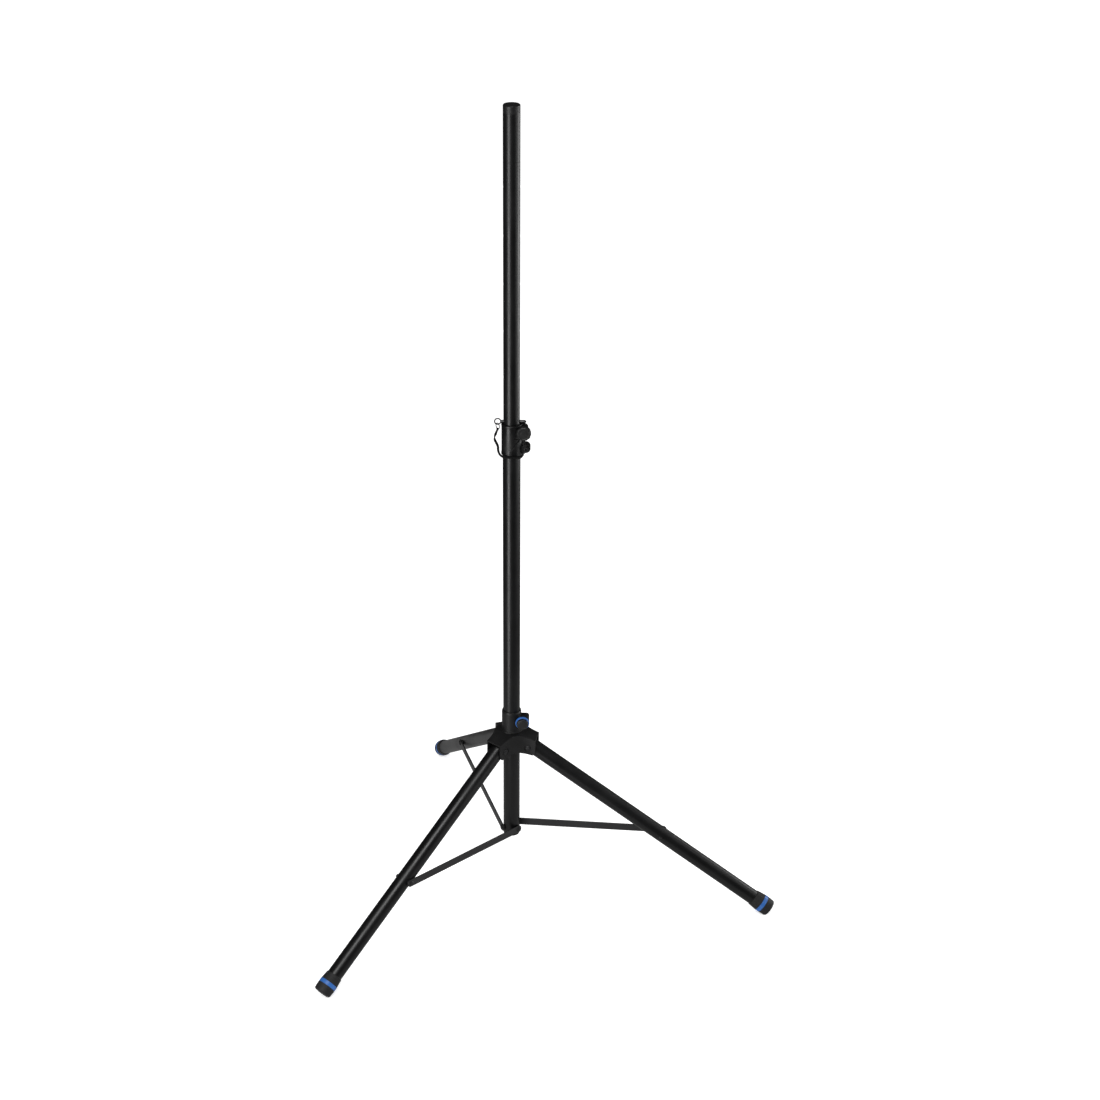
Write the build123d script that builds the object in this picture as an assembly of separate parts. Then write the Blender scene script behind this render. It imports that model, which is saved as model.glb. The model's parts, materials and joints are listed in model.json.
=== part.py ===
from build123d import *
import math
import os

# Tripod speaker stand: a pinned telescoping pole in a clamped column, on a sliding
# hub with three folding legs and three flat braces.
# Frame: millimetres, +Z up, origin on the floor on the column's axis.
# Legs stand at 90, 210 and 330 degrees; the stand is shown open and raised.

# ---------------------------------------------------------------- driving dimensions
LEGS = {"rear": 90.0, "left": 210.0, "right": 330.0}  # azimuth of each leg
COLLAR_TURN = -18.1      # collar, clamp knobs, hub clamp and pin are turned this far about the column

COL_OD, COL_ID = 38.1, 35.6          # lower column tube
COL_Z0, COL_Z1 = 142.0, 1125.0
POLE_OD, POLE_ID = 34.9, 31.9        # upper telescoping pole
POLE_Z0, POLE_Z1 = 868.0, 1838.0
HOLE_PITCH, HOLE_R = 100.0, 3.9      # pin holes along the pole
HOLES_BELOW, HOLES_ABOVE = 1, 5
SPIGOT_LEN = 110.0                   # upper end that a speaker's socket slides over

PIN_R, PIN_Z = 3.5, 1175.8
COLLAR_Z0, COLLAR_Z1, COLLAR_R = 1103.0, 1172.0, 21.6

LEG_OD, LEG_ID = 34.9, 32.5
BETA = math.radians(33.0)            # leg slope below the horizontal
LEG_Z = 415.0                        # where a leg's axis meets the column's axis
PIVOT_R = 43.0                       # leg pivot, distance from the column's axis
LEG_S0, LEG_S1 = 37.3, 706.0         # tube ends, measured along the leg's axis
BOOT_S0, BOOT_S1, BOOT_R = 689.5, 737.5, 20.9
RING_S0, RING_S1, RING_R = 709.5, 718.7, 21.1

BRACE_Z = 156.0                      # brace pivot on the column
BRACE_S = 425.0                      # brace pivot on the leg, along the leg's axis
BRACE_T0, BRACE_T1 = 20.5, 23.5      # the brace's two faces, beside the leg
BRACE_HALF = 9.0

HUB_TOP, HUB_BOT, HUB_WALL = 422.0, 376.0, 3.0
ROOF_R, ROOF_DROP, ROOF_WALL = 24.0, 14.0, 2.6       # the arms' roofs fall away outside this radius, by this much at their ends
SKIRT_DROP = 9.0                     # and the cheeks' lower edges by this much
ARM_R, ARM_HALF = 60.0, 21.0
SLEEVE_Z1, SLEEVE_R = 473.0, 22.25

SB, CB = math.sin(BETA), math.cos(BETA)
PIVOT_Z = LEG_Z - PIVOT_R * math.tan(BETA)


# ---------------------------------------------------------------- helpers
def outline(points):
    """A closed wire in the XZ plane from (x, z, corner radius) points."""
    n = len(points)
    edges, ends = [], []
    for i, (x, z, r) in enumerate(points):
        p = Vector(x, 0, z)
        if not r:
            ends.append((p, p, None))
            continue
        a = Vector(points[i - 1][0], 0, points[i - 1][1])
        b = Vector(points[(i + 1) % n][0], 0, points[(i + 1) % n][1])
        u, v = (a - p).normalized(), (b - p).normalized()
        half = math.acos(max(-1, min(1, u.dot(v)))) / 2
        d = r / math.tan(half)
        m = (u + v).normalized()
        ends.append((p + u * d, p + v * d, p + m * (r / math.sin(half) - r)))
    for i, (s, e, mid) in enumerate(ends):
        if mid is not None:
            edges.append(Edge.make_three_point_arc(s, mid, e))
        nxt = ends[(i + 1) % n][0]
        if (nxt - e).length > 1e-6:
            edges.append(Edge.make_line(e, nxt))
    return Wire(edges)


def turned(points, origin=(0, 0, 0), direction=(0, 0, 1)):
    """A solid of revolution from (radius, height, corner radius) points."""
    s = Solid.revolve(Face(outline(points)), 360, Axis.Z)
    return Plane(origin=origin, z_dir=direction).location * s


def tube(r_out, r_in, z0, z1, origin=(0, 0, 0), direction=(0, 0, 1), c=0.0):
    return turned([(r_in, z0, 0), (r_out, z0, c), (r_out, z1, c), (r_in, z1, 0)], origin, direction)


def rod(r, z0, z1, origin=(0, 0, 0), direction=(0, 0, 1), c0=0.0, c1=0.0):
    return turned([(0, z0, 0), (r, z0, c0), (r, z1, c1), (0, z1, 0)], origin, direction)


def block(x0, x1, y0, y1, z0, z1):
    return Pos((x0 + x1) / 2, (y0 + y1) / 2, (z0 + z1) / 2) * Box(x1 - x0, y1 - y0, z1 - z0)


def hexagon(across, z0, z1, origin, direction, c=0.6):
    """A hexagonal head or nut, its outer corners turned down."""
    s = extrude(RegularPolygon(across / 2, 6, major_radius=False), z1 - z0)
    s = Plane(origin=origin, z_dir=direction).location * (Pos(0, 0, z0) * s)
    rim = across / 2 * 1.12
    return s & turned([(0, z0, 0), (rim - c, z0, 0), (rim, z0 + c, 0), (rim, z1 - c, 0), (rim - c, z1, 0), (0, z1, 0)], origin, direction)


def turn(shape, angle):
    return Rot(0, 0, angle) * shape


def solids_of(shape):
    return list(shape.solids())


def save(name, *shapes):
    """One STEP per node; several separate solids stay separate in it."""
    out = []
    for s in shapes:
        out += solids_of(s)
    body = out[0] if len(out) == 1 else Compound(children=out)
    body.label = name
    export_step(body, f"parts/{name}.step")


os.makedirs("parts", exist_ok=True)

E_T = (0, 1, 0)
LEG_DIR = (CB, 0, -SB)


def on_leg(s):
    """A point on the axis of a leg at azimuth 0."""
    return (s * CB, 0, LEG_Z - s * SB)


# ---------------------------------------------------------------- column
col_r, col_ri = COL_OD / 2, COL_ID / 2
column = tube(col_r, col_ri, COL_Z0, COL_Z1)
plug = turned([(0, COL_Z0 - 4, 0), (col_r - 3, COL_Z0 - 4, 0), (col_r, COL_Z0 - 2.5, 0.8), (col_r, COL_Z0, 0),
               (col_ri, COL_Z0, 0), (col_ri, 176, 1.0), (9, 176, 0), (9, 166, 0), (0, 166, 0)])
rivets, spacers = [], []
for az in LEGS.values():
    hole = rod(3.0, 8, 40, (0, 0, BRACE_Z), E_T)
    column -= turn(hole, az)
    plug -= turn(hole, az)
    rivets.append(turn(turned([(0, 8, 0), (3.0, 8, 0), (3.0, 23.8, 0), (7.0, 23.8, 0), (7.0, 24.6, 0.5), (4.6, 26.6, 1.2), (0, 26.9, 0)], (0, 0, BRACE_Z), E_T), az))
    spacer = tube(7.2, 3.0, 15, BRACE_T0 - 0.3, (0, 0, BRACE_Z), E_T, 0) - rod(col_r, 130, 190)
    spacer = [s for s in solids_of(spacer) if s.center().Y > 0][0]
    spacers.append(turn(spacer, az))
save("column_tube", column)
save("column_bottom_plug", plug)
save("brace_pivot_rivets", *rivets)
save("brace_pivot_spacers", *spacers)

# ---------------------------------------------------------------- pole
pr, pri = POLE_OD / 2, POLE_ID / 2
mark = POLE_Z1 - SPIGOT_LEN
pole = turned([(pri, POLE_Z0, 0), (pr, POLE_Z0, 0), (pr, mark - 1.6, 0), (pr - 0.3, mark - 1.3, 0), (pr - 0.3, mark - 0.3, 0),
               (pr, mark, 0), (pr, POLE_Z1 - 16, 0), (pri, POLE_Z1 - 16, 0)])
for k in range(-HOLES_BELOW, HOLES_ABOVE + 1):
    pole -= turn(rod(HOLE_R, -30, 30, (0, 0, PIN_Z + k * HOLE_PITCH), (1, 0, 0)), COLLAR_TURN)
save("pole_tube", pole)
top_cap = turned([(0, POLE_Z1, 0), (pr - 1.6, POLE_Z1, 0.5), (pr, POLE_Z1 - 1.6, 0.5), (pr, POLE_Z1 - 16, 0), (pri, POLE_Z1 - 16, 0),
                  (pri, POLE_Z1 - 42, 0.8), (pri - 2.5, POLE_Z1 - 42, 0), (pri - 2.5, POLE_Z1 - 5, 0), (0, POLE_Z1 - 5, 0)])
save("pole_top_cap", top_cap)
# the lower bush guides the pole inside the column
bot = turned([(pri, POLE_Z0, 0), (pr, POLE_Z0, 0), (col_ri - 0.05, POLE_Z0 - 0.0, 0), (col_ri - 0.05, POLE_Z0 - 18, 1.0),
              (pri - 3, POLE_Z0 - 18, 0.5), (pri - 3, POLE_Z0 + 24, 0), (pri, POLE_Z0 + 24, 0)])
save("pole_bottom_bush", bot)

# ---------------------------------------------------------------- collar, turned about the column
KX, KZ = 26.0, 1158.5     # clamp bolt
LX, LZ = 31.0, 1117.8     # lower lug bolt
barrel = turned([(col_r, COLLAR_Z0, 0), (COLLAR_R + 0.6, COLLAR_Z0, 0.8), (COLLAR_R + 0.6, COLLAR_Z0 + 5, 0.6), (COLLAR_R, COLLAR_Z0 + 6, 0.6),
                 (COLLAR_R, COLLAR_Z1 - 5, 0.6), (COLLAR_R + 0.5, COLLAR_Z1 - 4, 0.5), (COLLAR_R + 0.5, COLLAR_Z1, 1.0), (col_r, COLLAR_Z1, 0)])
# a saddle strap that rises across the front to the lugs
strap = tube(COLLAR_R + 1.9, col_r, COLLAR_Z0 - 1.5, 1146, c=0.8)
slope = math.degrees(math.atan2(31, 26))
above = Pos(-11, 0, COLLAR_Z0 + 2) * Rot(0, -slope, 0) * Pos(0, 0, 50) * Box(240, 120, 100)
strap = strap - above - block(-60, -10.5, -60, 60, 1080, 1160)
upper_ear = rod(9.5, -13.0, 13.0, (KX, 0, KZ), E_T, 1.2, 1.2) + block(12, KX, -13.0, 13.0, KZ - 9.5, KZ + 9.0)
lower_lug = rod(9.3, -11.0, 11.0, (LX, 0, LZ), E_T, 1.2, 1.2) + block(12, LX, -11.0, 11.0, LZ - 9.3, LZ + 6.0)
gusset = extrude(Plane.XZ.offset(-8) * make_face(Polyline((12, COLLAR_Z0 - 1.5), (LX - 6, COLLAR_Z0 - 1.5 + 2), (LX, LZ - 9.2), (LX, LZ + 8), (20, 1141), (12, 1141), close=True)), 16)
collar = barrel + strap + upper_ear + lower_lug + gusset
collar -= rod(col_r, COLLAR_Z0 - 5, COLLAR_Z1 + 5)
collar -= block(10, 45, -1.5, 1.5, 1129, COLLAR_Z1 + 5)            # clamping split
collar -= block(5, 45, -30, 30, 1141.2, 1146.5)                     # relief slot under the clamping ears
collar -= rod(3.2, -30, 30, (KX, 0, KZ), E_T)
collar -= rod(3.2, -30, 30, (LX, 0, LZ), E_T)
collar -= hexagon(10.0, 9.5, 14, (KX, 0, KZ), E_T, 0)              # seat of the clamp bolt's head
save("clamp_collar", turn(collar, COLLAR_TURN))

bush = turned([(pr + 0.05, COL_Z1 + 0.3, 0), (col_r, COL_Z1 + 0.3, 0), (col_r, COLLAR_Z1, 0), (COLLAR_R - 0.6, COLLAR_Z1, 0),
               (COLLAR_R - 0.6, COLLAR_Z1, 0)][:3] + [(col_r, COLLAR_Z1 + 0.2, 0.1), (pr + 0.05, COLLAR_Z1 + 0.2, 0)])
bush -= block(10, 45, -1.2, 1.2, COL_Z1, COLLAR_Z1 + 5)
save("collar_bush", turn(bush, COLLAR_TURN))

clamp_bolt = rod(3.0, -22.5, 12.0, (KX, 0, KZ), E_T, 0.5) + hexagon(9.8, 9.6, 15.5, (KX, 0, KZ), E_T)
save("clamp_bolt", turn(clamp_bolt, COLLAR_TURN))
washer = tube(8.5, 3.1, -14.4, -13.0, (KX, 0, KZ), E_T, 0.3)
save("clamp_washer", turn(washer, COLLAR_TURN))
# clamp knob: a round dished knob with shallow finger flutes
NEG = (0, -1, 0)
knob = turned([(3.05, 14.8, 0), (8.6, 14.8, 0.5), (8.6, 17.2, 0.8), (15.6, 18.6, 1.4), (15.6, 28.2, 2.4), (12.2, 30.4, 1.0), (10.6, 28.8, 1.2), (0, 28.8, 0), (0, 24.5, 0), (3.05, 24.5, 0)], (KX, 0, KZ), NEG)
for i in range(10):
    a = math.radians(36 * i + 18)
    knob -= rod(4.0, 10, 40, (KX + 18.9 * math.cos(a), 0, KZ + 18.9 * math.sin(a)), NEG)
insert = tube(5.0, 3.05, 14.6, 23.5, (KX, 0, KZ), NEG, 0.2)
knob -= rod(5.0, 14.0, 23.5, (KX, 0, KZ), NEG)
save("clamp_knob", turn(knob, COLLAR_TURN))
save("clamp_knob_insert", turn(insert, COLLAR_TURN))

# lower lug bolt, nut and the lanyard's eyelet under its head
D_X, D_Z = -0.517, -0.856
lug_bolt = rod(3.0, -13, 15.5, (LX, 0, LZ), E_T) + (rod(4.8, -16.6, -12.2, (LX, 0, LZ), E_T, 1.0) - hexagon(5.0, -20, -14, (LX, 0, LZ), E_T, 0))
save("collar_lug_bolt", turn(lug_bolt, COLLAR_TURN))
lug_nut = hexagon(10.0, 11.0, 16.2, (LX, 0, LZ), E_T) - rod(3.0, 0, 30, (LX, 0, LZ), E_T)
save("collar_lug_nut", turn(lug_nut, COLLAR_TURN))


def off_lug(d, y):
    return (LX + D_X * d, y, LZ + D_Z * d)


eyelet = tube(5.6, 3.1, -12.2, -11.0, (LX, 0, LZ), E_T)
tab = Plane(origin=off_lug(0, -11.6), x_dir=(D_X, 0, D_Z), z_dir=(0, 1, 0)).location * (Pos(6.2, 0, 0) * Box(6.0, 3.6, 1.2))
ferrule = rod(1.9, 0, 6.0, off_lug(7.0, -13.4), (D_X, 0, D_Z), 0.3, 0)
eyelet = eyelet + tab + ferrule
save("lanyard_eyelet", turn(eyelet, COLLAR_TURN))

# ---------------------------------------------------------------- locking pin and its split ring
PX = -29.5
pin = turned([(0, 22.5, 0), (1.2, 22.5, 0), (PIN_R, 22.5, 0), (PIN_R, -27.4, 0.4), (1.9, -30.8, 0.8), (0, -31.2, 0)], (0, 0, PIN_Z), (-1, 0, 0))
pin += Plane(origin=(PX, 0, PIN_Z), z_dir=(0, 1, 0)).location * Torus(6.5, 1.4)
save("locking_pin", turn(pin, COLLAR_TURN))
ring = Plane(origin=(PX, 0, PIN_Z - 10.3), z_dir=(math.cos(math.radians(35)), math.sin(math.radians(35)), 0)).location * Torus(6.5, 0.8)
save("pin_split_ring", turn(ring, COLLAR_TURN))

# lanyard: a flat strap, here a plain round tube of straight runs and tangent arcs
LANYARD_R = 1.5
LANYARD = [(-30.5, -0.5, 1156.6), (-34.0, -1.2, 1148.0), (-37.5, -2.5, 1139.0), (-34.5, -4.5, 1129.5), (-30.0, -7.0, 1121.0), (-28.0, -9.5, 1112.0),
           (-25.6, -13.6, 1105.2), (-19.6, -19.0, 1101.4), (-10.4, -24.2, 1100.2), (1.0, -25.8, 1098.6), (11.6, -21.5, 1094.0),
           off_lug(22.5, -13.4), off_lug(13.0, -13.4)]


def corner_radii(points):
    out = []
    for a, b, c in zip(points, points[1:], points[2:]):
        a, b, c = Vector(*a), Vector(*b), Vector(*c)
        half = math.radians((b - a).get_angle(c - b)) / 2
        out.append(0.45 * min((b - a).length, (c - b).length) / math.tan(half))
    return out


def cord(points, r):
    radii = corner_radii(points)
    print("lanyard bend radii", [round(x, 1) for x in radii])
    path = FilletPolyline(*points, radius=radii)
    edges = path.edges()
    line = Wire(edges)
    start = Plane(origin=line @ 0, z_dir=line % 0)
    body = sweep(start.location * Circle(r), path=line)
    print("lanyard volume", round(body.volume, 1), "section x length", round(math.pi * r * r * line.length, 1), "length", round(line.length, 1))
    return body


save("lanyard", turn(cord(LANYARD, LANYARD_R), COLLAR_TURN))

# ---------------------------------------------------------------- hub
def star(inset):
    """The hub's outline from above: three arms joined by concave webs."""
    f = None
    for az in LEGS.values():
        r = turn(Pos((ARM_R + 20) / 2, 0) * Rectangle(ARM_R + 20, 2 * ARM_HALF), az)
        f = r if f is None else f + r
    f = fillet([v for v in f.vertices() if math.hypot(v.X, v.Y) < 30], 75.0)
    return offset(f, -inset) if inset else f


def falling(z, drop, up):
    """A cut on one side of a surface at height z that falls away along an arm at azimuth 0."""
    far = ARM_R + 40
    end = z - drop / (ARM_R - ROOF_R) * (far - ROOF_R)
    wall = 500 if up else 300
    return extrude(Plane.XZ.offset(-80) * make_face(Polyline((ROOF_R, z), (far, end), (far, wall), (ROOF_R, wall), close=True)), 160)


def roofed(inset, drop, z0):
    """The outline raised to a roof that falls away along each arm."""
    body = Pos(0, 0, z0) * extrude(star(inset), HUB_TOP - drop - z0)
    for az in LEGS.values():
        body -= turn(falling(HUB_TOP - drop, ROOF_DROP, True), az)
    return body


spider = roofed(0, 0, HUB_BOT - SKIRT_DROP - 1)
for az in LEGS.values():
    spider -= turn(block(ARM_R, ARM_R + 40, -40, 40, 340, HUB_TOP + 5), az)
spider -= roofed(HUB_WALL, ROOF_WALL, 340)
middle = None
for az in LEGS.values():
    spider -= turn(falling(HUB_BOT, SKIRT_DROP, False), az)
    side = turn(block(-120, ROOF_R, -120, 120, 340, HUB_BOT), az)
    middle = side if middle is None else middle & side
spider -= middle
spider += tube(23.4, 20.1, 408, HUB_TOP - 1)
spider -= rod(20.1, 340, 430)
for az in LEGS.values():
    # lower outer corners of the cheeks are cut back
    w = extrude(Plane.XZ.offset(-40) * make_face(Polyline((ARM_R + 1, 350), (ARM_R - 14, 350), (ARM_R - 7, 368), (ARM_R + 1, 375), close=True)), 80)
    spider -= turn(w, az)
    for side in (-1, 1):
        spider -= turn(rod(7.6, ARM_HALF - 0.2, 30, (PIVOT_R, 0, PIVOT_Z), (0, side, 0)), az)
        spider -= turn(rod(4.0, 10, 30, (PIVOT_R, 0, PIVOT_Z), (0, side, 0)), az)
save("hub_spider", spider)

# split clamp sleeve with a pair of ears to one side; the clamp knob draws them together
HKX, HKZ = 25.0, 451.7
HKO = (HKX, 0, HKZ)
sleeve = turned([(20.1, HUB_TOP, 0), (25.4, HUB_TOP, 0), (25.4, HUB_TOP + 2.6, 1.2), (SLEEVE_R, HUB_TOP + 3.6, 1.0), (SLEEVE_R, SLEEVE_Z1 - 3.0, 1.0),
                 (20.9, SLEEVE_Z1, 0.5), (20.1, SLEEVE_Z1, 0)])
ears = extrude(Plane.XZ.offset(-9) * (Pos(24.25, HKZ) * RectangleRounded(32.5, 16.6, 7.0)), 9 + 13.5)
ears = chamfer(ears.faces().filter_by(Axis.Y).edges(), 0.8)
sleeve += ears + rod(10.5, -21.5, -13.0, HKO, E_T, 1.0)
sleeve -= rod(20.1, 400, 500)
sleeve -= block(10, 50, -1.4, 1.4, HUB_TOP + 4.6, 480)            # clamping split
sleeve -= rod(4.1, -40, 40, HKO, E_T)
sleeve -= rod(4.8, 1.0, 12.0, HKO, E_T)
save("hub_sleeve", turn(sleeve, COLLAR_TURN))
hub_bush = turned([(col_r + 0.05, 404, 0), (20.1, 404, 0.4), (20.1, SLEEVE_Z1, 0), (21.2, SLEEVE_Z1, 0), (21.2, SLEEVE_Z1 + 1.2, 0.5), (col_r + 0.05, SLEEVE_Z1 + 1.2, 0.3)])
hub_bush -= block(10, 50, -1.2, 1.2, HUB_TOP + 4.6, 480)
save("hub_bush", turn(hub_bush, COLLAR_TURN))
save("hub_threaded_insert", turn(tube(4.8, 4.05, 2.2, 9.6, HKO, E_T, c=0.2), COLLAR_TURN))
bolts, nuts = [], []
for az in LEGS.values():
    o = (PIVOT_R, 0, PIVOT_Z)
    bolts.append(turn(turned([(0, -20.9, 0), (4.0, -20.9, 0), (4.0, 20.8, 0), (7.0, 20.8, 0), (7.0, 22.2, 0.5), (4.6, 24.0, 1.2), (0, 24.3, 0)], o, (0, 1, 0)), az))
    nuts.append(turn(turned([(4.0, -20.9, 0), (7.0, -20.8, 0), (7.0, -22.2, 0.5), (4.6, -24.0, 1.2), (0, -24.3, 0), (0, -20.9, 0)], o, (0, 1, 0)), az))
save("leg_pivot_bolts", *bolts)
save("leg_pivot_caps", *nuts)

# hub clamp knob: flanged base, bright band, fluted cap, stud
stud = rod(4.0, -9.0, 33.0, HKO, NEG, 0.6, 0.4)
save("hub_knob_stud", turn(stud, COLLAR_TURN))
base = turned([(4.0, 21.8, 0), (12.6, 21.8, 0.5), (14.2, 23.2, 0.4), (14.2, 23.8, 0), (4.0, 23.8, 0)], HKO, NEG)
save("hub_knob_base", turn(base, COLLAR_TURN))
band = tube(15.9, 4.0, 23.8, 29.2, HKO, NEG, 1.4)
save("hub_knob_ring", turn(band, COLLAR_TURN))
cap = turned([(4.0, 29.2, 0), (13.7, 29.2, 0.3), (13.7, 35.2, 2.4), (0, 36.2, 0), (0, 33.0, 0), (4.0, 33.0, 0)], HKO, NEG)
for i in range(8):
    a = math.radians(45 * i + 22.5)
    cap -= rod(4.8, 30.6, 60, (HKX + 17.2 * math.cos(a), 0, HKZ + 17.2 * math.sin(a)), NEG)
save("hub_knob_cap", turn(cap, COLLAR_TURN))

# ---------------------------------------------------------------- legs and braces
lr, lri = LEG_OD / 2, LEG_ID / 2
pivot_hole = rod(4.05, -30, 30, (PIVOT_R, 0, PIVOT_Z), E_T)
bp = on_leg(BRACE_S)
leg = tube(lr, lri, LEG_S0, LEG_S1, (0, 0, LEG_Z), LEG_DIR) - pivot_hole - rod(3.0, -40, 40, bp, E_T)
leg_plug = turned([(0, LEG_S0 - 1.2, 0), (lr - 2.0, LEG_S0 - 1.2, 0.5), (lr - 0.3, LEG_S0, 0), (lri, LEG_S0, 0), (lri, LEG_S0 + 36, 0.8), (0, LEG_S0 + 36, 0)],
                  (0, 0, LEG_Z), LEG_DIR) - pivot_hole
boss = tube(6.8, 3.0, 10, BRACE_T0 - 0.3, bp, E_T, 0) - rod(lr, BRACE_S - 40, BRACE_S + 40, (0, 0, LEG_Z), LEG_DIR)
boss = [s for s in solids_of(boss) if s.center().Y > 0][0]
leg_bolt = turned([(0, -23.2, 0), (3.2, -22.9, 1.2), (4.9, -21.2, 0.6), (4.9, -18.0, 0), (3.0, -18.0, 0), (3.0, BRACE_T0 - 0.3, 0), (0, BRACE_T0 - 0.3, 0)], bp, E_T)
leg_seat = tube(5.8, 3.0, -18.0, -10, bp, E_T) - rod(lr, BRACE_S - 40, BRACE_S + 40, (0, 0, LEG_Z), LEG_DIR)
leg_seat = [s for s in solids_of(leg_seat) if s.center().Y < 0][0]
boot = turned([(0, BOOT_S1, 0), (BOOT_R - 1.0, BOOT_S1, 4.5), (BOOT_R + 0.1, RING_S1 + 3, 0), (BOOT_R + 0.1, RING_S1, 0.3), (BOOT_R - 1.6, RING_S1, 0), (BOOT_R - 1.6, RING_S0, 0), (BOOT_R - 0.1, RING_S0, 0.3),
               (18.9, BOOT_S0 + 1.0, 0.9), (lr + 0.4, BOOT_S0, 0), (lr, BOOT_S0, 0), (lr, LEG_S1, 0), (0, LEG_S1, 0)], (0, 0, LEG_Z), LEG_DIR)
boot -= block(300, 900, -60, 60, -60, 0)
boot_ring = tube(RING_R, BOOT_R - 1.6, RING_S0, RING_S1, (0, 0, LEG_Z), LEG_DIR, 0.35)

bx, bz = bp[0], bp[2]
L2 = math.hypot(bx, bz - BRACE_Z)
u = Vector(bx, 0, bz - BRACE_Z).normalized()
bar = Plane(origin=(bx / 2, BRACE_T0, (bz + BRACE_Z) / 2), x_dir=(u.X, 0, u.Z), z_dir=(0, 1, 0)).location * extrude(SlotCenterToCenter(L2, 2 * BRACE_HALF), BRACE_T1 - BRACE_T0)
bar = chamfer(bar.faces().filter_by(Axis.Y).edges(), 0.5)
bar -= rod(3.05, 10, 40, (0, 0, BRACE_Z), E_T)
bar -= rod(3.2, 10, 40, bp, E_T)
brace_rivet = turned([(0, BRACE_T0, 0), (3.2, BRACE_T0, 0), (3.2, BRACE_T1, 0), (6.2, BRACE_T1, 0), (6.2, BRACE_T1 + 1.0, 0.4), (4.2, BRACE_T1 + 2.8, 1.2), (0, BRACE_T1 + 3.1, 0)], bp, E_T)
for side, az in LEGS.items():
    save(f"leg_tube_{side}", turn(leg, az))
    save(f"leg_pivot_plug_{side}", turn(leg_plug, az))
    save(f"leg_brace_bolt_{side}", turn(leg_bolt, az))
    save(f"leg_brace_boss_{side}", turn(boss, az), turn(leg_seat, az))
    save(f"foot_boot_{side}", turn(boot, az))
    save(f"foot_ring_{side}", turn(boot_ring, az))
    save(f"brace_{side}", turn(bar, az))
    save(f"brace_rivet_{side}", turn(brace_rivet, az))

# ---------------------------------------------------------------- fold
L1 = math.hypot(bx - PIVOT_R, PIVOT_Z - bz)
rise = BRACE_Z + math.sqrt(L2 ** 2 - PIVOT_R ** 2) + L1 - PIVOT_Z
leg_turn = math.pi / 2 - BETA
brace_turn = math.atan2(math.sqrt(L2 ** 2 - PIVOT_R ** 2), PIVOT_R) - math.atan2(bz - BRACE_Z, bx)
print("pivot z", round(PIVOT_Z, 3), "L1", round(L1, 3), "L2", round(L2, 3), "hub rise", round(rise, 4), "leg turn", round(math.degrees(leg_turn), 4), "brace turn", round(math.degrees(brace_turn), 4))
print("ratios rad per m", round(leg_turn / rise * 1000, 6), round(brace_turn / rise * 1000, 6))
print("foot face", [tuple(round(c, 3) for c in turn(boot, az).faces().filter_by(GeomType.PLANE).sort_by(Axis.Z)[0].center()) for az in LEGS.values()],
      "area", round(boot.faces().filter_by(GeomType.PLANE).sort_by(Axis.Z)[0].area, 1))
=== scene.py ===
import bpy, bmesh, json, math
from mathutils import Vector, Matrix


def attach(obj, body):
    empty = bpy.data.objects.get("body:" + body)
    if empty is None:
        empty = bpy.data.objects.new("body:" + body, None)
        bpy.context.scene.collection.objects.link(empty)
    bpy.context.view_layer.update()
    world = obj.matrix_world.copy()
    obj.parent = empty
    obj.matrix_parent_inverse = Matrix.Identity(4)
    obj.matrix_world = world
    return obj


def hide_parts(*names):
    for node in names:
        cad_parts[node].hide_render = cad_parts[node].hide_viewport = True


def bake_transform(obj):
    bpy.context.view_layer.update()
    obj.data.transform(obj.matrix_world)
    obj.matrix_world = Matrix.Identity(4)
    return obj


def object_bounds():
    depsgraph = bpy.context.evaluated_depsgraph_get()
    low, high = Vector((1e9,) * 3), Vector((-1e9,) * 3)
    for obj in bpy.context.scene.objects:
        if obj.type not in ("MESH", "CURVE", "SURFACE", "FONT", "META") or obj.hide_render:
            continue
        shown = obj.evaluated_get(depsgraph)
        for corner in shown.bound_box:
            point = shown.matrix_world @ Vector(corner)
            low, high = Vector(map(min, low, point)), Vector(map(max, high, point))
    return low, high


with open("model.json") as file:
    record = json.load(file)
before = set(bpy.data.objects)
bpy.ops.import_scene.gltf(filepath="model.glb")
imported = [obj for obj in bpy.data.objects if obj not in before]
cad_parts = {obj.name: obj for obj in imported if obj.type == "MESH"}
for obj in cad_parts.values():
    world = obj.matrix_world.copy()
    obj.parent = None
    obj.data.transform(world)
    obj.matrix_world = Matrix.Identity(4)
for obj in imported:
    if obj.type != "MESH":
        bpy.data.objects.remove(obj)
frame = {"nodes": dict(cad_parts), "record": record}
CAD_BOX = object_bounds()
NODES = frame["nodes"]
scene = bpy.context.scene
MM = 0.001
TAU = math.tau

# ------------------------------------------------------------------ the same dimensions as the CAD, in mm
LEGS = {"rear": 90.0, "left": 210.0, "right": 330.0}
TURN = math.radians(-18.1)
BETA = math.radians(33.0)
SB, CB = math.sin(BETA), math.cos(BETA)
LEG_Z, PIVOT_R = 415.0, 43.0
PIVOT_Z = LEG_Z - PIVOT_R * math.tan(BETA)
BRACE_Z, BRACE_S = 156.0, 425.0
PIN_Z = 1175.8
KX, KZ = 26.0, 1158.5
LX, LZ = 31.0, 1117.8

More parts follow.
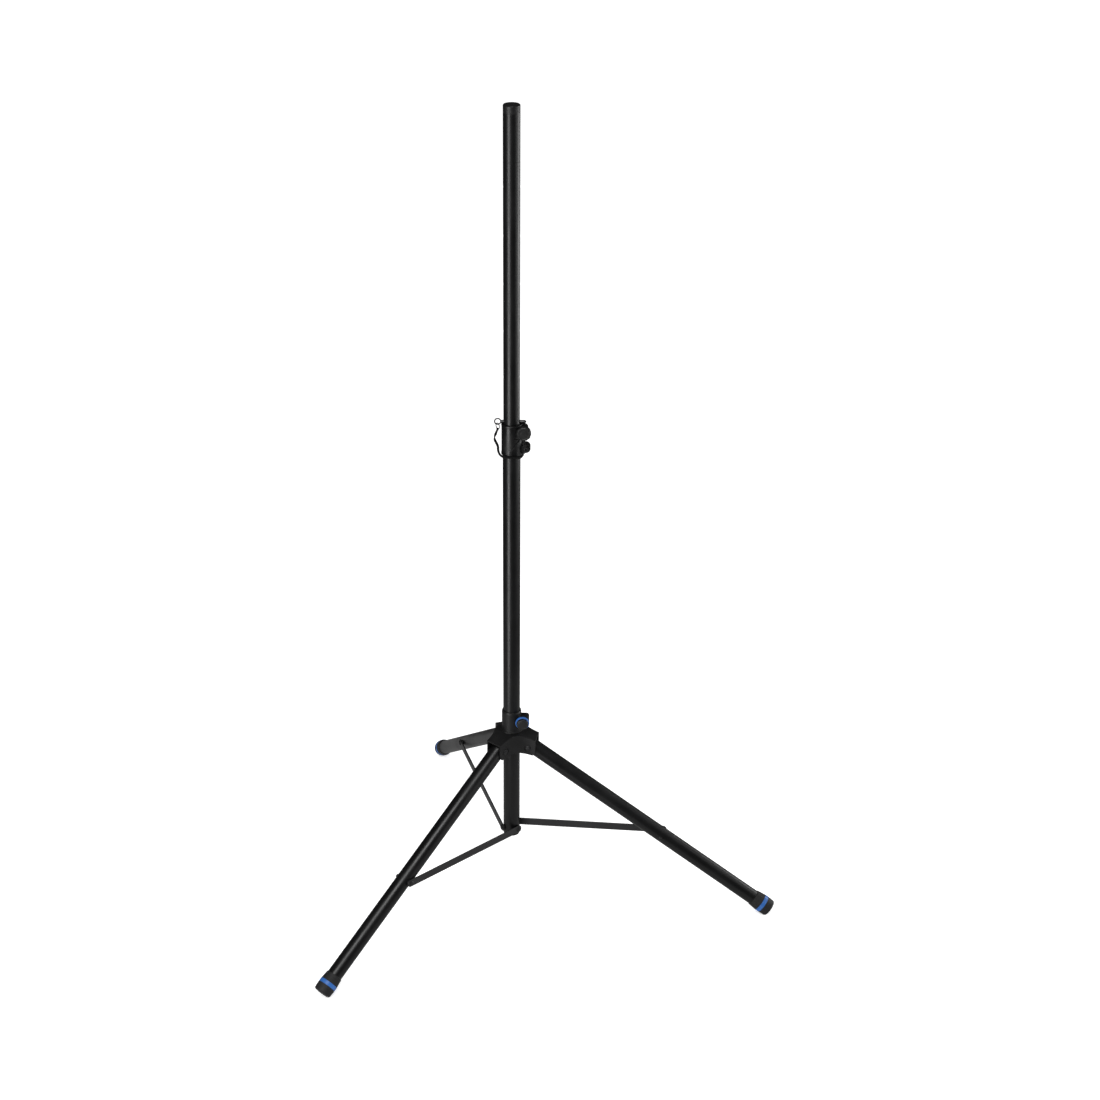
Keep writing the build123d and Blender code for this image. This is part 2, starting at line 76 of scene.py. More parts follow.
# ------------------------------------------------------------------ camera: left of the front, above, looking down
th = math.radians(-17.334)
cam_data = bpy.data.cameras.new("camera")
cam = bpy.data.objects.new("camera", cam_data)
scene.collection.objects.link(cam)
CAM_D, CAM_H, CAM_TILT = 4.0891, 2.8406, math.radians(30.283)
cam_data.sensor_width = 36.0
cam_data.lens = 2068.61 / 1100.0 * 36.0
cam_data.shift_x = (550.0 - 511.6) / 1100.0
cam_data.shift_y = (716.96 - 550.0) / 1100.0
cam_data.clip_start, cam_data.clip_end = 0.05, 100.0
cam.location = (CAM_D * math.sin(th), -CAM_D * math.cos(th), CAM_H)
fwd = Vector((-math.sin(th) * math.cos(CAM_TILT), math.cos(th) * math.cos(CAM_TILT), -math.sin(CAM_TILT)))
cam.rotation_euler = fwd.to_track_quat("-Z", "Y").to_euler()
scene.camera = cam
scene.view_settings.view_transform = "Standard"
scene.view_settings.look = "None"


# ------------------------------------------------------------------ materials
def new_material(name):
    m = bpy.data.materials.new(name)
    m.use_nodes = True
    nt = m.node_tree
    nt.nodes.clear()
    out = nt.nodes.new("ShaderNodeOutputMaterial")
    bsdf = nt.nodes.new("ShaderNodeBsdfPrincipled")
    nt.links.new(bsdf.outputs[0], out.inputs[0])
    return m, nt, bsdf


def node(nt, kind, **props):
    n = nt.nodes.new(kind)
    for k, v in props.items():
        if hasattr(n, k):
            setattr(n, k, v)
        else:
            n.inputs[k].default_value = v
    return n


def noise(nt, vec, scale, detail=2.0, rough=0.5, dist=0.0):
    n = nt.nodes.new("ShaderNodeTexNoise")
    n.inputs["Scale"].default_value = scale
    n.inputs["Detail"].default_value = detail
    n.inputs["Roughness"].default_value = rough
    n.inputs["Distortion"].default_value = dist
    nt.links.new(vec, n.inputs["Vector"])
    return n.outputs["Fac"]


def ramp(nt, fac, stops):
    r = nt.nodes.new("ShaderNodeValToRGB")
    while len(r.color_ramp.elements) > 2:
        r.color_ramp.elements.remove(r.color_ramp.elements[-1])
    r.color_ramp.elements[0].position, r.color_ramp.elements[0].color = stops[0][0], stops[0][1]
    r.color_ramp.elements[1].position, r.color_ramp.elements[1].color = stops[-1][0], stops[-1][1]
    for p, c in stops[1:-1]:
        e = r.color_ramp.elements.new(p)
        e.color = c
    nt.links.new(fac, r.inputs[0])
    return r.outputs[0]


def grey(v):
    return (v, v, v, 1.0)


def tint(c, k=1.0):
    return (c[0] * k, c[1] * k, c[2] * k, 1.0)


def maprange(nt, fac, lo, hi, a=0.0, b=1.0):
    n = nt.nodes.new("ShaderNodeMapRange")
    n.inputs["From Min"].default_value, n.inputs["From Max"].default_value = a, b
    n.inputs["To Min"].default_value, n.inputs["To Max"].default_value = lo, hi
    nt.links.new(fac, n.inputs["Value"])
    return n.outputs[0]


def mix_color(nt, fac, a, b):
    n = nt.nodes.new("ShaderNodeMix")
    n.data_type = "RGBA"
    for i, v in ((6, a), (7, b)):
        if hasattr(v, "is_linked"):
            nt.links.new(v, n.inputs[i])
        else:
            n.inputs[i].default_value = v
    nt.links.new(fac, n.inputs[0])
    return n.outputs[2]


def bump(nt, height, strength, dist, normal=None):
    b = nt.nodes.new("ShaderNodeBump")
    b.inputs["Strength"].default_value = strength
    b.inputs["Distance"].default_value = dist
    nt.links.new(height, b.inputs["Height"])
    if normal is not None:
        nt.links.new(normal, b.inputs["Normal"])
    return b.outputs[0]


def coords(nt):
    t = nt.nodes.new("ShaderNodeTexCoord")
    return t.outputs["Object"]


def soft_edge(nt, radius):
    """Rounds the look of sharp edges by that radius in metres."""
    if not radius:
        return None
    e = nt.nodes.new("ShaderNodeBevel")
    e.samples = 4
    e.inputs["Radius"].default_value = radius
    return e.outputs[0]


def powder_coat(name, base, rough=0.36, spec=0.32, peel=900.0, wear=0.5, edge=0.0):
    """Black powder coat: fine orange peel, faint dust and handling marks."""
    m, nt, b = new_material(name)
    v = coords(nt)
    dust = noise(nt, v, 11.0, 5.0, 0.6)
    fine = noise(nt, v, peel, 2.0, 0.5)
    marks = noise(nt, v, 60.0, 6.0, 0.72, 0.6)
    col = ramp(nt, dust, [(0.3, tint(base, 0.82)), (0.72, tint(base, 1.28))])
    spots = ramp(nt, marks, [(0.66, grey(0.0)), (0.78, grey(wear))])
    nt.links.new(mix_color(nt, spots, col, tint(base, 2.4)), b.inputs["Base Color"])
    nt.links.new(maprange(nt, dust, rough - 0.05, rough + 0.07, 0.3, 0.7), b.inputs["Roughness"])
    b.inputs["Specular IOR Level"].default_value = spec
    nt.links.new(bump(nt, fine, 0.22, 0.0003, soft_edge(nt, edge)), b.inputs["Normal"])
    return m


def moulded(name, base, rough=0.5, spec=0.35, grain=1500.0, strength=0.35, variation=0.3, edge=0.0):
    """Moulded black plastic or rubber: spark-eroded grain with soft blotches of gloss."""
    m, nt, b = new_material(name)
    v = coords(nt)
    blotch = noise(nt, v, 28.0, 4.0, 0.6)
    g = noise(nt, v, grain, 3.0, 0.65)
    vor = nt.nodes.new("ShaderNodeTexVoronoi")
    vor.inputs["Scale"].default_value = grain * 0.7
    nt.links.new(v, vor.inputs["Vector"])
    col = ramp(nt, blotch, [(0.28, tint(base, 1.0 - variation)), (0.75, tint(base, 1.0 + variation))])
    nt.links.new(col, b.inputs["Base Color"])
    nt.links.new(maprange(nt, blotch, rough - 0.08, rough + 0.1, 0.3, 0.7), b.inputs["Roughness"])
    b.inputs["Specular IOR Level"].default_value = spec
    n1 = bump(nt, g, strength, 0.0003, soft_edge(nt, edge))
    nt.links.new(bump(nt, vor.outputs["Distance"], strength * 0.5, 0.0002, n1), b.inputs["Normal"])
    return m


def metal(name, base, rough, spec=0.5, metallic=1.0, edge=0.0):
    m, nt, b = new_material(name)
    v = coords(nt)
    n1 = noise(nt, v, 260.0, 4.0, 0.6)
    n2 = noise(nt, v, 40.0, 3.0, 0.5)
    nt.links.new(ramp(nt, n2, [(0.3, tint(base, 0.78)), (0.7, tint(base, 1.12))]), b.inputs["Base Color"])
    nt.links.new(maprange(nt, n1, rough - 0.06, rough + 0.1, 0.3, 0.7), b.inputs["Roughness"])
    b.inputs["Metallic"].default_value = metallic
    b.inputs["Specular IOR Level"].default_value = spec
    nt.links.new(bump(nt, n1, 0.12, 0.0002, soft_edge(nt, edge)), b.inputs["Normal"])
    return m


def webbing(name, base):
    """Narrow woven strap: two crossing wave bands make the weave."""
    m, nt, b = new_material(name)
    uv = nt.nodes.new("ShaderNodeUVMap")
    mp = nt.nodes.new("ShaderNodeMapping")
    nt.links.new(uv.outputs[0], mp.inputs["Vector"])
    w1 = nt.nodes.new("ShaderNodeTexWave")
    w1.inputs["Scale"].default_value = 900.0 / TAU * 1.0
    w1.bands_direction = "X"
    w2 = nt.nodes.new("ShaderNodeTexWave")
    w2.inputs["Scale"].default_value = 900.0 / TAU * 1.0
    w2.bands_direction = "Y"
    nt.links.new(mp.outputs[0], w1.inputs["Vector"])
    nt.links.new(mp.outputs[0], w2.inputs["Vector"])
    mul = nt.nodes.new("ShaderNodeMath")
    mul.operation = "MULTIPLY"
    nt.links.new(w1.outputs["Fac"], mul.inputs[0])
    nt.links.new(w2.outputs["Fac"], mul.inputs[1])
    nt.links.new(ramp(nt, mul.outputs[0], [(0.1, tint(base, 0.5)), (0.8, tint(base, 1.7))]), b.inputs["Base Color"])
    b.inputs["Roughness"].default_value = 0.82
    b.inputs["Specular IOR Level"].default_value = 0.12
    b.inputs["Sheen Weight"].default_value = 0.03
    b.inputs["Sheen Roughness"].default_value = 0.5
    nt.links.new(bump(nt, mul.outputs[0], 0.7, 0.0004), b.inputs["Normal"])
    return m


MAT = {
    "black_tube": powder_coat("black_tube_coat", (0.0016, 0.0016, 0.0018), 0.34, 0.5),
    "black_flat_bar": powder_coat("black_bar_coat", (0.0085, 0.0085, 0.0092), 0.42, 0.5, 1100.0, 0.7, 0.0006),
    "black_casting": moulded("black_nylon", (0.0024, 0.0024, 0.0026), 0.36, 0.5, edge=0.0008),
    "black_plastic": moulded("black_plastic", (0.0050, 0.0050, 0.0053), 0.44, 0.45, 1800.0, 0.25, edge=0.0005),
    "boot_rubber": moulded("boot_rubber", (0.0080, 0.0080, 0.0084), 0.6, 0.4, 1300.0, 0.5, edge=0.0005),
    "blue_plastic": moulded("blue_plastic", (0.016, 0.088, 0.300), 0.32, 0.5, 1900.0, 0.1, 0.12),
    "bright_steel": metal("zinc_steel", (0.10, 0.10, 0.10), 0.30),
    "black_steel_hardware": metal("black_oxide", (0.022, 0.022, 0.023), 0.36, metallic=0.6, edge=0.0003),
    "brass_insert": metal("turned_brass", (0.62, 0.44, 0.18), 0.3),
    "black_cord": webbing("woven_strap", (0.0018, 0.0018, 0.0020)),
}
HUB_FINISH = moulded("hub_nylon", (0.0038, 0.0038, 0.0040), 0.5, 0.42, 1200.0, 0.4, edge=0.0009)
SLOT = {s["node"]: s["material_slot"] for s in frame["record"]["subparts"]}
for name, obj in NODES.items():
    obj.data.materials.clear()
    obj.data.materials.append(HUB_FINISH if name in ("hub_spider", "hub_sleeve") else MAT[SLOT[name]])

# ------------------------------------------------------------------ mesh helpers
def turned_xy(p):
    """A point in the collar's own frame, turned about the column with it."""
    return Vector((p[0] * math.cos(TURN) - p[1] * math.sin(TURN), p[0] * math.sin(TURN) + p[1] * math.cos(TURN), p[2]))


def spin(p, deg):
    a = math.radians(deg)
    return Vector((p[0] * math.cos(a) - p[1] * math.sin(a), p[0] * math.sin(a) + p[1] * math.cos(a), p[2]))


def rounded(points, step=math.radians(11)):
    """(radius, height) points from (radius, height, corner radius) ones."""
    n, out = len(points), []
    for i, (x, z, r) in enumerate(points):
        p = Vector((x, z))
        if not r:
            out.append((x, z))
            continue
        a, b = Vector(points[i - 1][:2]), Vector(points[(i + 1) % n][:2])
        u, v = (a - p).normalized(), (b - p).normalized()
        ang = math.acos(max(-1.0, min(1.0, u.dot(v))))
        d = r / math.tan(ang / 2)
        s, e = p + u * d, p + v * d
        c = p + (u + v).normalized() * (r / math.sin(ang / 2))
        a0 = math.atan2(s.y - c.y, s.x - c.x)
        da = math.atan2(e.y - c.y, e.x - c.x) - a0
        da = (da + math.pi) % TAU - math.pi
        k = max(2, math.ceil(abs(da) / step))
        out += [(c.x + r * math.cos(a0 + da * j / k), c.y + r * math.sin(a0 + da * j / k)) for j in range(k + 1)]
    return out


def finish_mesh(name, bm, slot, body, replaces=(), angle=32.0, weighted=True):
    bmesh.ops.recalc_face_normals(bm, faces=bm.faces[:])
    me = bpy.data.meshes.new(name)
    bm.to_mesh(me)
    bm.free()
    me.materials.append(MAT[slot])
    for p in me.polygons:
        p.use_smooth = True
    me.set_sharp_from_angle(angle=math.radians(angle))
    ob = bpy.data.objects.new(name, me)
    scene.collection.objects.link(ob)
    if weighted:
        w = ob.modifiers.new("weighted", "WEIGHTED_NORMAL")
        w.keep_sharp = True
    if replaces:
        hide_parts(*replaces)
    if body:
        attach(ob, body)
    return ob


def lathe_into(bm, points, origin=(0, 0, 0), direction=(0, 0, 1), segs=96, lobes=None, place=None, rows=None):
    """A closed solid of revolution. lobes(angle, radius, height) may change the radius; rows adds cuts every so many mm."""
    prof = rounded(points)
    if rows:
        fine = []
        m = len(prof)
        for i in range(m):
            a, b = prof[i], prof[(i + 1) % m]
            fine.append(a)
            if a[0] < 1e-6 and b[0] < 1e-6:
                continue
            k = int(math.hypot(b[0] - a[0], b[1] - a[1]) // rows)
            fine += [(a[0] + (b[0] - a[0]) * j / (k + 1), a[1] + (b[1] - a[1]) * j / (k + 1)) for j in range(1, k + 1)]
        prof = fine
    q = Vector(direction).to_track_quat("Z", "Y")
    o = Vector(origin)
    place = place or (lambda p: p)
    rings = []
    for r, t in prof:
        if r < 1e-6:
            rings.append([bm.verts.new(place(o + q @ Vector((0, 0, t))) * MM)])
            continue
        ring = []
        for k in range(segs):
            a = TAU * k / segs
            rr = lobes(a, r, t) if lobes else r
            ring.append(bm.verts.new(place(o + q @ Vector((rr * math.cos(a), rr * math.sin(a), t))) * MM))
        rings.append(ring)
    for i in range(len(rings)):
        a, b = rings[i], rings[(i + 1) % len(rings)]
        if len(a) == 1 and len(b) == 1:
            continue
        for k in range(segs):
            n = (k + 1) % segs
            vs = [a[k % len(a)], a[n % len(a)], b[n % len(b)], b[k % len(b)]]
            vs = [v for j, v in enumerate(vs) if v not in vs[:j]]
            if len(vs) > 2:
                bm.faces.new(vs)
    return rings


def lathe(name, points, slot, body, replaces=(), origin=(0, 0, 0), direction=(0, 0, 1), segs=96, lobes=None, place=None, rows=None, angle=32.0, after=None):
    bm = bmesh.new()
    lathe_into(bm, points, origin, direction, segs, lobes, place, rows)
    if after:
        after(bm)
    return finish_mesh(name, bm, slot, body, replaces, angle)


def flutes(count, depth, r0, r1, sharp=3.0, phase=0.0, t0=-1e9, t1=-1e9 + 1):
    """Finger flutes round a knob's rim: none inside r0 or below height t0, full depth beyond r1 and t1."""
    def f(a, r, t):
        w = max(0.0, min(1.0, (r - r0) / (r1 - r0))) * max(0.0, min(1.0, (t - t0) / (t1 - t0)))
        w = w * w * (3 - 2 * w)
        return r - depth * w * (0.5 + 0.5 * math.cos(count * a + phase)) ** sharp
    return f


# ------------------------------------------------------------------ the lanyard first: a flat woven strap
EYE = (31.0, 1117.8)


def off_lug(d, y):
    return (EYE[0] - 0.517 * d, y, EYE[1] - 0.856 * d)


ROUTE = [off_lug(13.0, -13.4), off_lug(20.5, -14.2), (15.6, -20.4, 1101.4), (7.2, -24.7, 1103.2), (-3.4, -25.4, 1104.0), (-13.4, -22.6, 1103.4), (-21.2, -16.8, 1103.2),
         (-26.4, -12.0, 1107.2), (-28.8, -8.8, 1114.4), (-28.6, -6.6, 1121.6), (-32.2, -4.4, 1128.6), (-35.6, -3.0, 1134.6), (-36.9, -2.3, 1140.8), (-33.6, -1.4, 1148.4), (-30.5, -0.5, 1156.6)]
# the way the strap's flat faces, at stations along it from the lug to the ring
FACING = [(0.0, (0, -1, 0)), (0.10, (0.25, -0.97, 0)), (0.20, (0.45, -0.9, 0)), (0.30, (0.1, -1, 0)), (0.38, (-0.25, -0.97, 0)), (0.47, (-0.62, -0.78, 0)), (0.56, (-0.6, -0.8, 0.1)),
          (0.64, (-0.2, -1, 0)), (0.74, (0.0, -1, 0)), (0.79, (0.25, -0.97, 0)), (0.835, (0.9, -0.45, 0)), (0.87, (0.9, 0.45, 0)), (0.92, (0.3, 0.95, 0)), (1.0, (0.6, 0.8, 0))]
STRAP_W, STRAP_T, LOOP_W = 5.4, 1.9, 4.2


def nurbs_line(points, resolution):
    cu = bpy.data.curves.new("route", "CURVE")
    cu.dimensions = "3D"
    sp = cu.splines.new("NURBS")
    sp.points.add(len(points) - 1)
    for q, p in zip(sp.points, points):
        q.co = (*(turned_xy(p) * MM), 1.0)
    sp.order_u = 3
    sp.use_endpoint_u = True
    cu.resolution_u = resolution
    ob = bpy.data.objects.new("route", cu)
    me = bpy.data.meshes.new_from_object(ob)
    line = [v.co.copy() for v in me.vertices]
    bpy.data.objects.remove(ob)
    bpy.data.curves.remove(cu)
    bpy.data.meshes.remove(me)
    return line


def run_length(line):
    return sum((b - a).length for a, b in zip(line, line[1:]))


def facing_at(u):
    for (u0, a), (u1, b) in zip(FACING, FACING[1:]):
        if u <= u1:
            t = (u - u0) / (u1 - u0)
            t = t * t * (3 - 2 * t)
            return turned_xy(Vector(a).normalized().lerp(Vector(b).normalized(), t)).normalized()
    return turned_xy(Vector(FACING[-1][1])).normalized()


def ribbon(name, line, width, thick, facing, slot, body, replaces=(), round_ends=False, ripple=0.0):
    """A flat strap along a line, with rounded selvedges and a slightly raised middle."""
    section = []
    n_flat = 9
    for side in (1, -1):
        for k in range(n_flat):
            x = 1 - 2 * k / (n_flat - 1)
            x *= side
            edge = 1 - abs(x) ** 6 * 0.55
            rib = 1.0 + 0.10 * math.cos(x * math.pi * 3)
            section.append((x * width / 2, side * thick / 2 * edge * rib))
    bm = bmesh.new()
    uv = bm.loops.layers.uv.new("UVMap")
    total = run_length(line)
    run, rings, us = 0.0, [], []
    for i, p in enumerate(line):
        if i:
            run += (p - line[i - 1]).length
        t = (line[min(i + 1, len(line) - 1)] - line[max(i - 1, 0)]).normalized()
        n = facing(run / total)
        n = (n - t * n.dot(t)).normalized()
        w = t.cross(n)
        k = 1.0 - (1 - LOOP_W / width) * max(0.0, min(1.0, (run / total - 0.92) / 0.07))
        ring = []
        for sx, sn in section:
            dn = sn + ripple * math.sin(run * 5200.0) * (1 if sn > 0 else -1)
            ring.append(bm.verts.new(p + w * (sx * k * MM) + n * (dn * MM)))
        rings.append(ring)
        us.append(run)
    m = len(section)
    for i in range(len(rings) - 1):
        for k in range(m):
            j = (k + 1) % m
            f = bm.faces.new([rings[i][k], rings[i][j], rings[i + 1][j], rings[i + 1][k]])
            vals = [(us[i], k), (us[i], k + 1), (us[i + 1], k + 1), (us[i + 1], k)]
            for lp, (a, b) in zip(f.loops, vals):
                lp[uv].uv = (a, (b / m) * 2 * width * MM)
    bm.faces.new(list(reversed(rings[0])))
    bm.faces.new(rings[-1])
    return finish_mesh(name, bm, slot, body, replaces, 60.0, False)


line = nurbs_line(ROUTE, 24)
strap = ribbon("lanyard_strap", line, STRAP_W, STRAP_T, facing_at, "black_cord", None, ("lanyard",), ripple=0.03)
# the strap's end is folded round the split ring's wire
PX, RING_Z, RING_R = -29.5, PIN_Z - 10.3, 6.5
across = Vector((-math.sin(math.radians(35)), math.cos(math.radians(35)), 0))
out = Vector((math.cos(math.radians(35)), math.sin(math.radians(35)), 0))
wire = Vector((PX, 0, RING_Z - RING_R))
loop_line = []
for k in range(41):
    a = math.radians(-62 + 304 * k / 40)
    loop_line.append(turned_xy(wire + out * (1.75 * math.cos(a)) + Vector((0, 0, 1)) * (1.75 * math.sin(a))) * MM)
neck_a = turned_xy(wire + Vector((-0.6, -0.3, -3.4)) + out * 0.35) * MM
neck_b = turned_xy(wire + Vector((-0.6, -0.3, -3.4)) - out * 0.35) * MM
loop_line = [neck_a] + loop_line + [neck_b]
centre = turned_xy(wire) * MM


def loop_facing(u):
    i = min(len(loop_line) - 1, max(0, round(u * (len(loop_line) - 1))))
    return (loop_line[i] - centre).normalized()


eye_loop = ribbon("lanyard_loop", loop_line, LOOP_W, 0.85, loop_facing, "black_cord", "locking_pin")
crimp = lathe("lanyard_crimp", [(0, -2.1, 0), (1.5, -2.1, 0), (2.15, -1.6, 0.3), (2.15, 1.6, 0.3), (1.5, 2.1, 0), (0, 2.1, 0)], "black_steel_hardware", "locking_pin",
              origin=(PX - 0.55, -0.25, RING_Z - RING_R - 2.9), direction=(-0.08, -0.04, -1), segs=48, place=turned_xy)
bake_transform(strap)

# ------------------------------------------------------------------ split ring: flat wire wound twice
bm = bmesh.new()
rings = []
TURNS = 1.94
steps = 150
q = out.to_track_quat("Z", "Y")
for i in range(steps + 1):
    u = i / steps
    a = math.radians(70) + TAU * TURNS * u
    shift = -0.42 + 0.84 * max(0.0, min(1.0, (u - 0.42) / 0.16))
    c = Vector((PX, 0, RING_Z)) + q @ Vector((RING_R * math.cos(a), RING_R * math.sin(a), shift))
    rad = q @ Vector((math.cos(a), math.sin(a), 0))
    ax = q @ Vector((0, 0, 1))
    ring = []
    for k in range(12):
        b = TAU * k / 12
        x, y = math.cos(b), math.sin(b)
        x = math.copysign(abs(x) ** 0.6, x) * 0.72
        y = math.copysign(abs(y) ** 0.6, y) * 0.38
        ring.append(bm.verts.new(turned_xy(c + rad * x + ax * y) * MM))
    rings.append(ring)
for i in range(steps):
    for k in range(12):
        j = (k + 1) % 12
        bm.faces.new([rings[i][k], rings[i][j], rings[i + 1][j], rings[i + 1][k]])
bm.faces.new(rings[0])
bm.faces.new(list(reversed(rings[-1])))
finish_mesh("split_ring_wound", bm, "bright_steel", "locking_pin", ("pin_split_ring",), 40.0)

# ------------------------------------------------------------------ boots and their bright rings
BOOT_S0, BOOT_S1, BOOT_R = 689.5, 737.5, 20.9
RING_S0, RING_S1, BAND_R = 709.5, 718.7, 21.1
LR = 17.45


def flat_foot(bm):
    cut = bmesh.ops.bisect_plane(bm, geom=bm.verts[:] + bm.edges[:] + bm.faces[:], plane_co=(0, 0, 0), plane_no=(0, 0, 1), clear_inner=True, dist=1e-7)
    edges = [e for e in cut["geom_cut"] if isinstance(e, bmesh.types.BMEdge)]
    bmesh.ops.edgeloop_fill(bm, edges=edges)


BOOT = [(0, BOOT_S1, 0), (6.0, BOOT_S1, 0), (6.6, BOOT_S1 - 0.7, 0.3), (8.0, BOOT_S1 - 0.7, 0.3), (8.6, BOOT_S1, 0.3), (11.6, BOOT_S1, 0.3), (12.2, BOOT_S1 - 0.7, 0.3), (13.6, BOOT_S1 - 0.7, 0.3), (14.2, BOOT_S1, 0.3),
        (BOOT_R - 0.95, BOOT_S1, 4.6), (BOOT_R + 0.1, RING_S1 + 3, 0), (BOOT_R + 0.1, RING_S1, 0.35), (BOOT_R - 1.6, RING_S1, 0), (BOOT_R - 1.6, RING_S0, 0), (BOOT_R - 0.1, RING_S0, 0.35),
        (20.15, 702.6, 0), (19.75, 702.0, 0.3), (20.02, 701.2, 0.3), (19.15, 693.4, 0), (18.95, 690.6, 0.9), (LR + 0.55, BOOT_S0, 0.35), (LR + 0.04, BOOT_S0 + 0.5, 0), (LR + 0.04, 706, 0), (0, 706, 0)]
BAND = [(BOOT_R - 1.58, RING_S0, 0), (BAND_R - 0.05, RING_S0 + 0.02, 0.5), (BAND_R, RING_S0 + 1.6, 0), (BAND_R - 0.22, RING_S0 + 2.0, 0.15), (BAND_R, RING_S0 + 2.4, 0), (BAND_R, RING_S1 - 2.4, 0), (BAND_R - 0.22, RING_S1 - 2.0, 0.15), (BAND_R, RING_S1 - 1.6, 0), (BAND_R, RING_S1 - 0.02, 0.5), (BOOT_R - 1.58, RING_S1, 0)]
for side, az in LEGS.items():
    a = math.radians(az)
    d = Vector((CB * math.cos(a), CB * math.sin(a), -SB))
    lathe(f"boot_{side}", BOOT, "boot_rubber", f"leg_{side}", (f"foot_boot_{side}",), (0, 0, LEG_Z), d, 128, after=flat_foot)
    lathe(f"boot_band_{side}", BAND, "blue_plastic", f"leg_{side}", (f"foot_ring_{side}",), (0, 0, LEG_Z), d, 128)

# ------------------------------------------------------------------ hub clamp knob
HK = (25.0, 0.0, 451.7)
NEG = (0, -1, 0)
lathe("hub_knob_flange", [(4.05, 21.8, 0), (12.6, 21.8, 0.5), (14.2, 23.1, 0.5), (14.2, 23.8, 0), (4.05, 23.8, 0)], "black_plastic", "hub_knob", ("hub_knob_base",), HK, NEG, 120, place=turned_xy)
lathe("hub_knob_band", [(4.05, 23.82, 0), (15.4, 23.82, 0), (15.9, 24.6, 0.8), (15.9, 27.4, 1.4), (14.6, 29.15, 0.6), (4.05, 29.18, 0)], "blue_plastic", "hub_knob", ("hub_knob_ring",), HK, NEG, 144, place=turned_xy)
lathe("hub_knob_grip", [(4.05, 29.2, 0), (13.3, 29.2, 0), (13.7, 29.8, 0.35), (13.7, 35.2, 2.3), (10.8, 36.15, 0.6), (10.3, 35.8, 0.25), (9.6, 35.8, 0.25), (9.1, 36.15, 0.4), (0, 36.2, 0), (0, 33.05, 0), (4.05, 33.05, 0)],
      "black_plastic", "hub_knob", ("hub_knob_cap",), HK, NEG, 192, lobes=flutes(8, 1.35, 8.0, 13.4, 2.4, math.pi, 29.8, 31.4), place=turned_xy, rows=0.7)

# ------------------------------------------------------------------ collar clamp knob
CK = (26.0, 0.0, 1158.5)
lathe("clamp_knob_grip", [(5.02, 14.8, 0), (8.4, 14.8, 0.5), (8.6, 17.2, 0.8), (15.2, 18.6, 0.8), (15.6, 19.6, 0.6), (15.6, 28.0, 2.3), (12.4, 30.35, 0.9), (11.2, 29.2, 0.5), (10.6, 28.75, 0.4), (6.4, 28.75, 0.2), (6.1, 28.95, 0.2), (0, 29.0, 0),
                             (0, 24.5, 0), (3.07, 24.5, 0), (3.07, 23.52, 0), (5.02, 23.52, 0)],
      "black_plastic", "clamp_knob", ("clamp_knob",), CK, NEG, 240, lobes=flutes(10, 0.62, 11.5, 15.2, 3.0, math.pi, 18.2, 20.0), place=turned_xy, rows=0.8)

# ------------------------------------------------------------------ lights, world and floor
def area(name, loc, target, size, power, colour=(1, 1, 1)):
    d = bpy.data.lights.new(name, "AREA")
    d.shape = "RECTANGLE"
    d.size, d.size_y = size
    d.energy = power
    d.color = colour
    o = bpy.data.objects.new(name, d)
    scene.collection.objects.link(o)
    o.location = loc
    o.rotation_euler = (Vector(target) - Vector(loc)).to_track_quat("-Z", "Y").to_euler()
    return o


def in_view(x, y, z=0.0):
    """A point given across and away from the camera, turned into the row frame."""
    return Vector((x * math.cos(th) - y * math.sin(th), x * math.sin(th) + y * math.cos(th), z))


world = bpy.data.worlds.new("studio")
scene.world = world
world.use_nodes = True
wt = world.node_tree
wt.nodes.clear()
wo = wt.nodes.new("ShaderNodeOutputWorld")
lp = wt.nodes.new("ShaderNodeLightPath")


def backdrop(value):
    n = wt.nodes.new("ShaderNodeBackground")
    n.inputs[0].default_value = (1.0, 1.0, 1.0, 1.0)
    n.inputs[1].default_value = value
    return n.outputs[0]


def mix_shader(nt, fac, a, b):
    n = nt.nodes.new("ShaderNodeMixShader")
    nt.links.new(fac, n.inputs[0])
    nt.links.new(a, n.inputs[1])
    nt.links.new(b, n.inputs[2])
    return n.outputs[0]


other = mix_shader(wt, lp.outputs["Is Diffuse Ray"], backdrop(0.05), backdrop(0.62))
wt.links.new(mix_shader(wt, lp.outputs["Is Camera Ray"], other, backdrop(1.0)), wo.inputs[0])

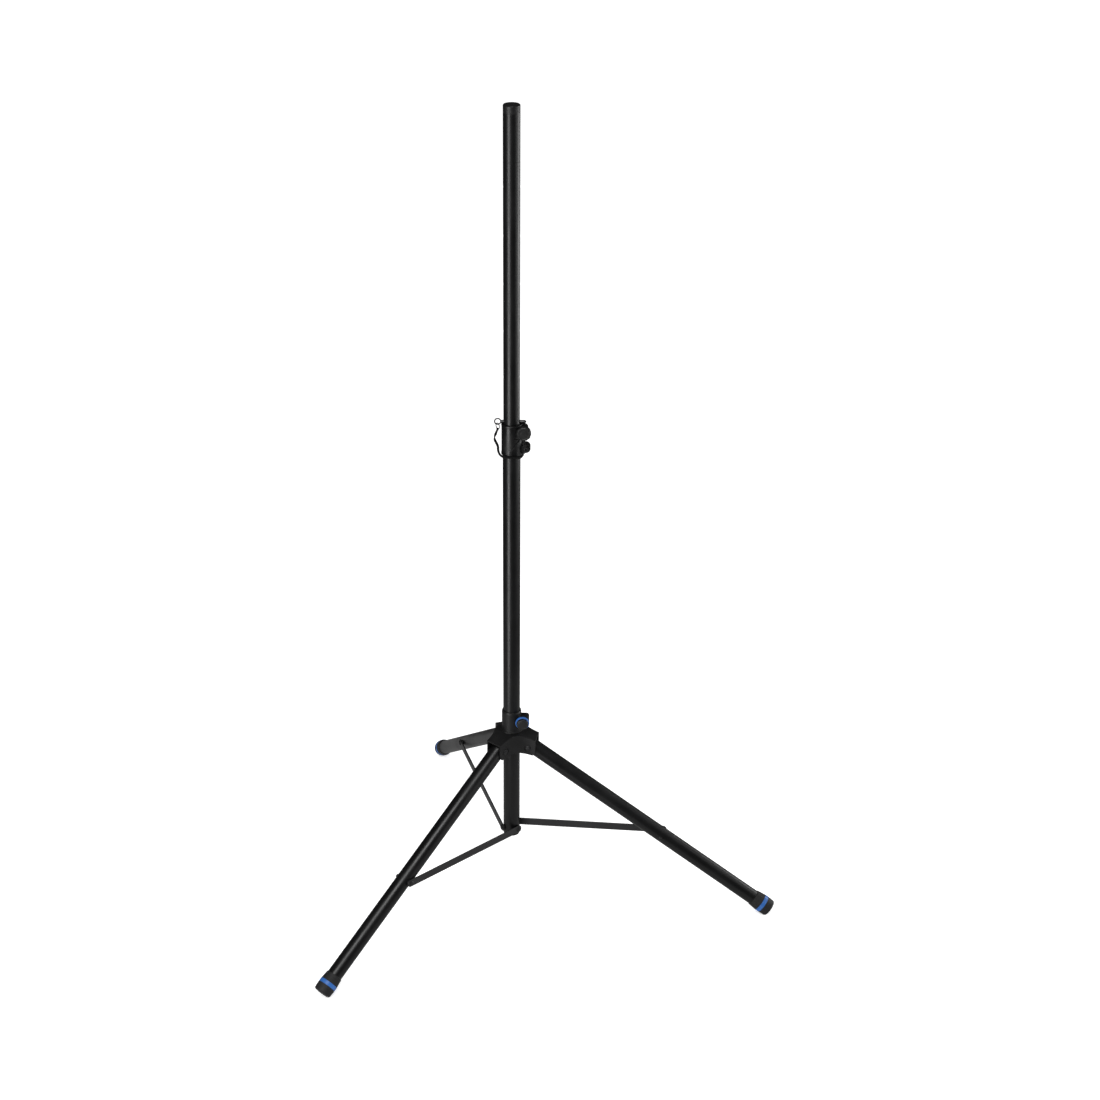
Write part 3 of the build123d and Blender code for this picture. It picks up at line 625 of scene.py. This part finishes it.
low, high = CAD_BOX
fm = bpy.data.meshes.new("floor")
bmf = bmesh.new()
bmesh.ops.create_grid(bmf, x_segments=1, y_segments=1, size=300.0)
bmf.to_mesh(fm)
bmf.free()
floor = bpy.data.objects.new("floor", fm)
floor.location = (0, 0, low[2] - 0.0002)
floor.visible_glossy = False
floor.visible_shadow = False
scene.collection.objects.link(floor)
mf, ntf, bf = new_material("studio_floor")
vf = coords(ntf)
ntf.links.new(ramp(ntf, noise(ntf, vf, 1.2, 3.0), [(0.3, grey(0.86)), (0.7, grey(0.88))]), bf.inputs["Base Color"])
bf.inputs["Roughness"].default_value = 0.9
bf.inputs["Specular IOR Level"].default_value = 0.0
bf.inputs["Emission Color"].default_value = grey(1.0)
bf.inputs["Emission Strength"].default_value = 0.55
fm.materials.append(mf)

# near the stand the floor is also a mirror image: a lit sheet that only glossy rays see
gm = bpy.data.meshes.new("floor_glow")
bmg = bmesh.new()
bmesh.ops.create_circle(bmg, cap_ends=True, segments=96, radius=1.05)
bmg.to_mesh(gm)
bmg.free()
glow = bpy.data.objects.new("floor_glow", gm)
glow.location = (0, 0, low[2] - 0.0004)
glow.visible_camera = False
glow.visible_diffuse = False
glow.visible_transmission = False
scene.collection.objects.link(glow)
mg, ntg, bg = new_material("studio_floor_mirrored")
bg.inputs["Base Color"].default_value = grey(0.0)
bg.inputs["Specular IOR Level"].default_value = 0.0
bg.inputs["Emission Color"].default_value = grey(1.0)
bg.inputs["Emission Strength"].default_value = 0.34
gm.materials.append(mg)

area("key_strip", in_view(-2.03, -2.64, 0.5), in_view(0, 0, 0.5), (1.15, 4.4), 95)
area("side_right", in_view(2.9, -0.5, 1.2), in_view(0, 0, 1.2), (2.2, 3.0), 20)
area("rim_right", in_view(2.75, 1.15, 0.75), in_view(0, 0, 0.75), (1.4, 1.5), 28)
area("top_front", in_view(-0.35, -2.4, 4.0), in_view(-0.2, -0.2, 0.2), (2.0, 1.3), 70)
for lamp in [o for o in scene.objects if o.type == "LIGHT"]:
    lamp.visible_camera = False
